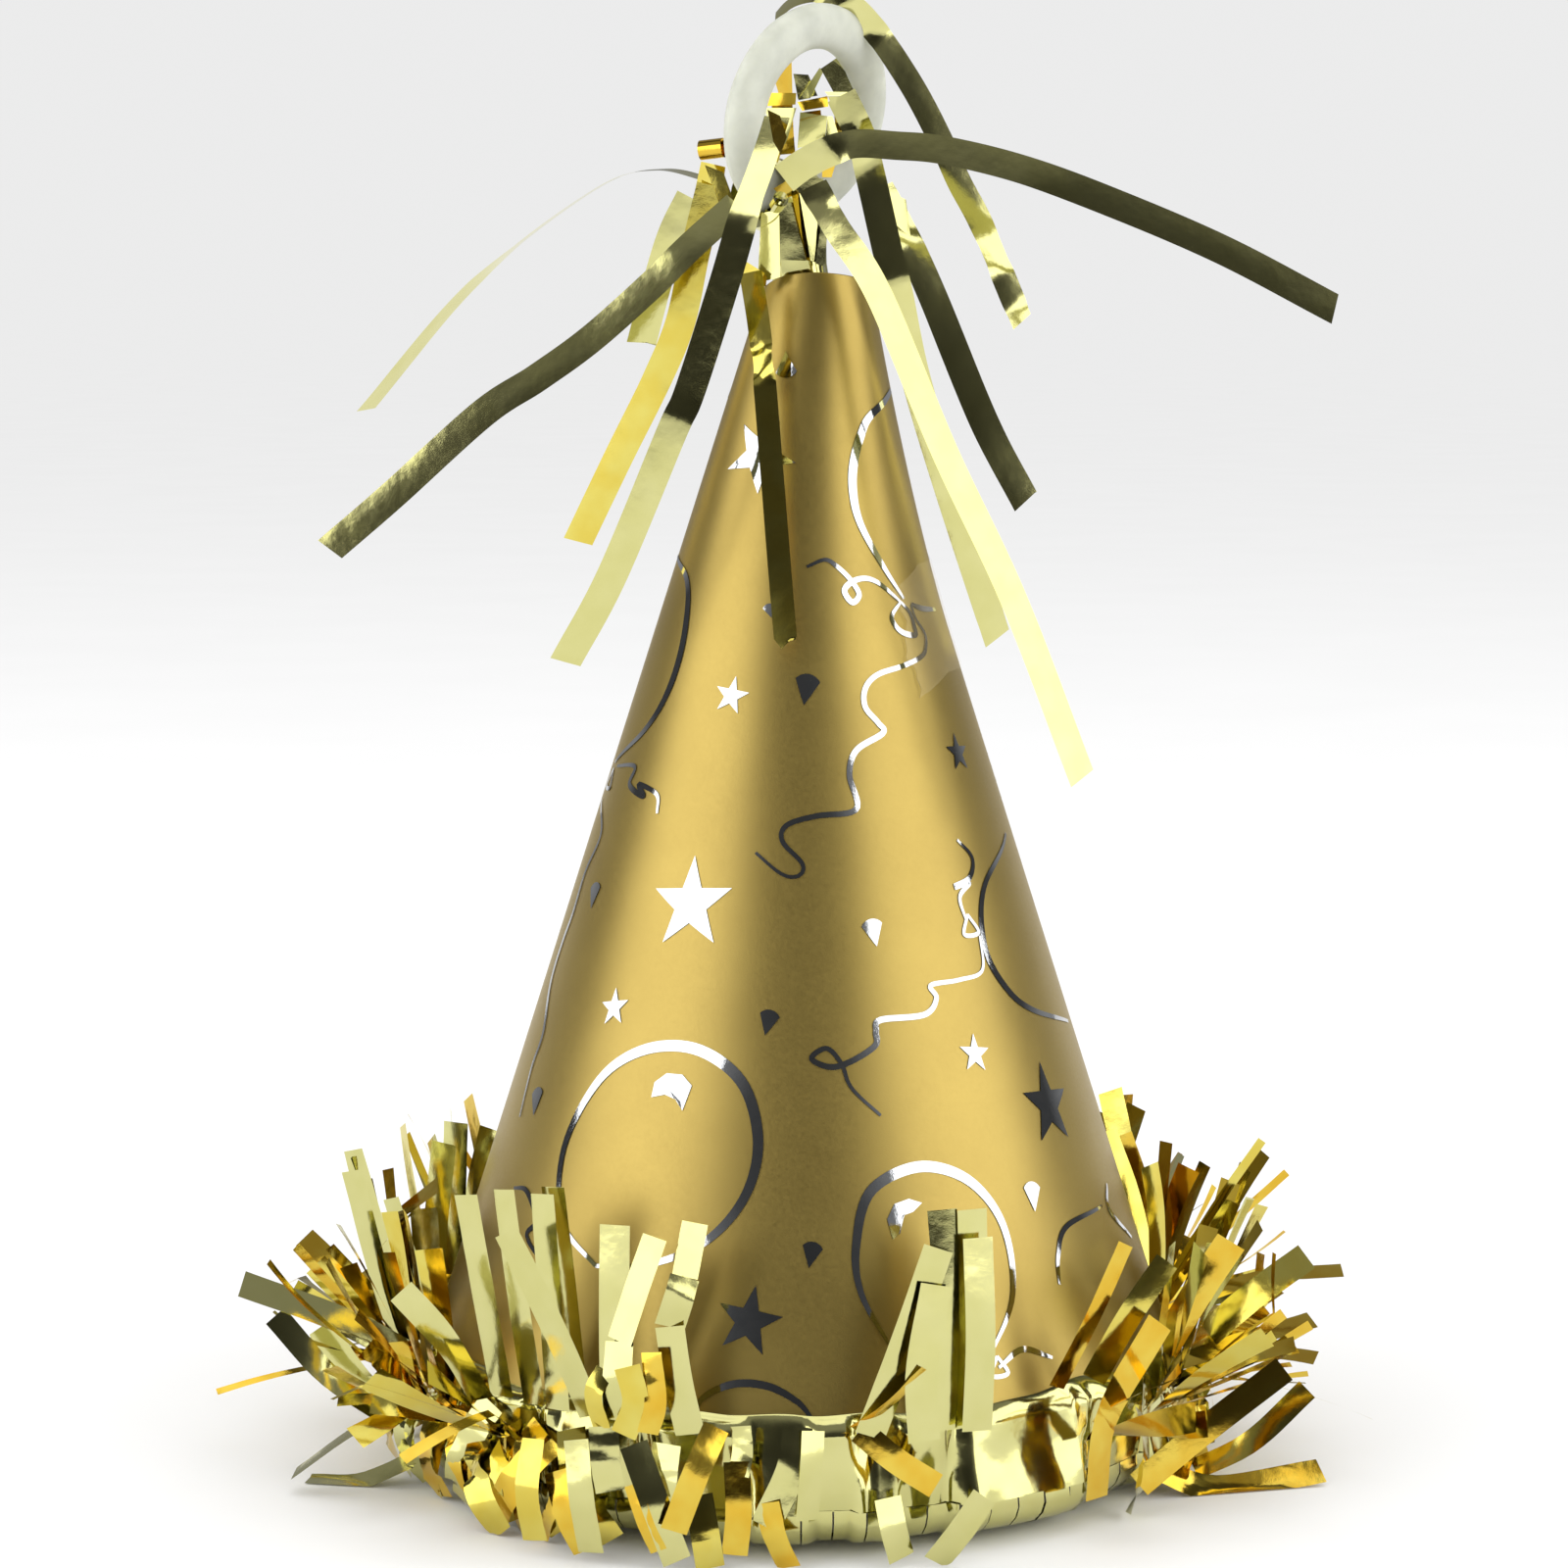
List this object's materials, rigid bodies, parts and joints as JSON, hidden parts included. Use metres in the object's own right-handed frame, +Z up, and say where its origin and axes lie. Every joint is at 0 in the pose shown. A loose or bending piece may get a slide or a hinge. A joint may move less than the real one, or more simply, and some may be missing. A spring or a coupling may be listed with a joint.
{
  "type": "party hat balloon weight",
  "caption": "Tabletop decoration shaped like a cone party hat, with a weighted foil-wrapped base, foil fringe, and a foil tassel holding a plastic ring for balloon ribbons.",
  "frame": {"origin": "centre of the flat underside, where the weight stands on the table", "axes": "+Z up through the cone's tip; +X to the right and -Y towards the viewer of the side with the lap seam at its front left"},
  "size_m": [0.1206, 0.1165, 0.1578],
  "materials": {
    "satin_gold_card": "satin metallic gold with mirror silver stamped shapes",
    "gold_foil": "mirror bright metallised film",
    "plaster": "matt cast plaster",
    "plain_card": "matt",
    "hot_glue": "waxy translucent",
    "clear_tape": "clear gloss",
    "frosted_plastic": "frosted translucent moulding"
  },
  "bodies": {
    "hat": {"cone_shell": "satin_gold_card", "seam_tape": "clear_tape", "weight_puck": "plaster", "base_disc": "plain_card", "base_foil_band": "gold_foil", "fringe_inner": "gold_foil", "fringe_outer": "gold_foil", "fringe_lower": "gold_foil", "glue_plug": "hot_glue", "foil_neck": "gold_foil", "ring_strap": "gold_foil", "fold_left": "gold_foil", "fold_right": "gold_foil", "streamer_long_left": "gold_foil", "streamer_far_left": "gold_foil", "streamer_front_left": "gold_foil", "streamer_left": "gold_foil", "streamer_short_left": "gold_foil", "streamer_on_cone": "gold_foil", "streamer_bright_right": "gold_foil", "streamer_pale_right": "gold_foil", "streamer_dark_right": "gold_foil", "streamer_long_right": "gold_foil"},
    "ring_loop": {"ring_collar": "gold_foil", "streamer_over_ring": "gold_foil"},
    "ring": {"hanging_ring": "frosted_plastic"}
  },
  "joints": [
    {"name": "ring_swing", "type": "hinge", "parent": "hat", "child": "ring_loop", "pos_m": [-0.0024, 0, 0.1359], "axis": [0.6203, 0.7547, -0.2136], "range_deg": [-12, 12]},
    {"name": "ring_spin", "type": "hinge", "parent": "ring_loop", "child": "ring", "pos_m": [0.00063, 0, 0.14469], "axis": [0.7136, -0.6561, -0.2457], "continuous": true}
  ]
}
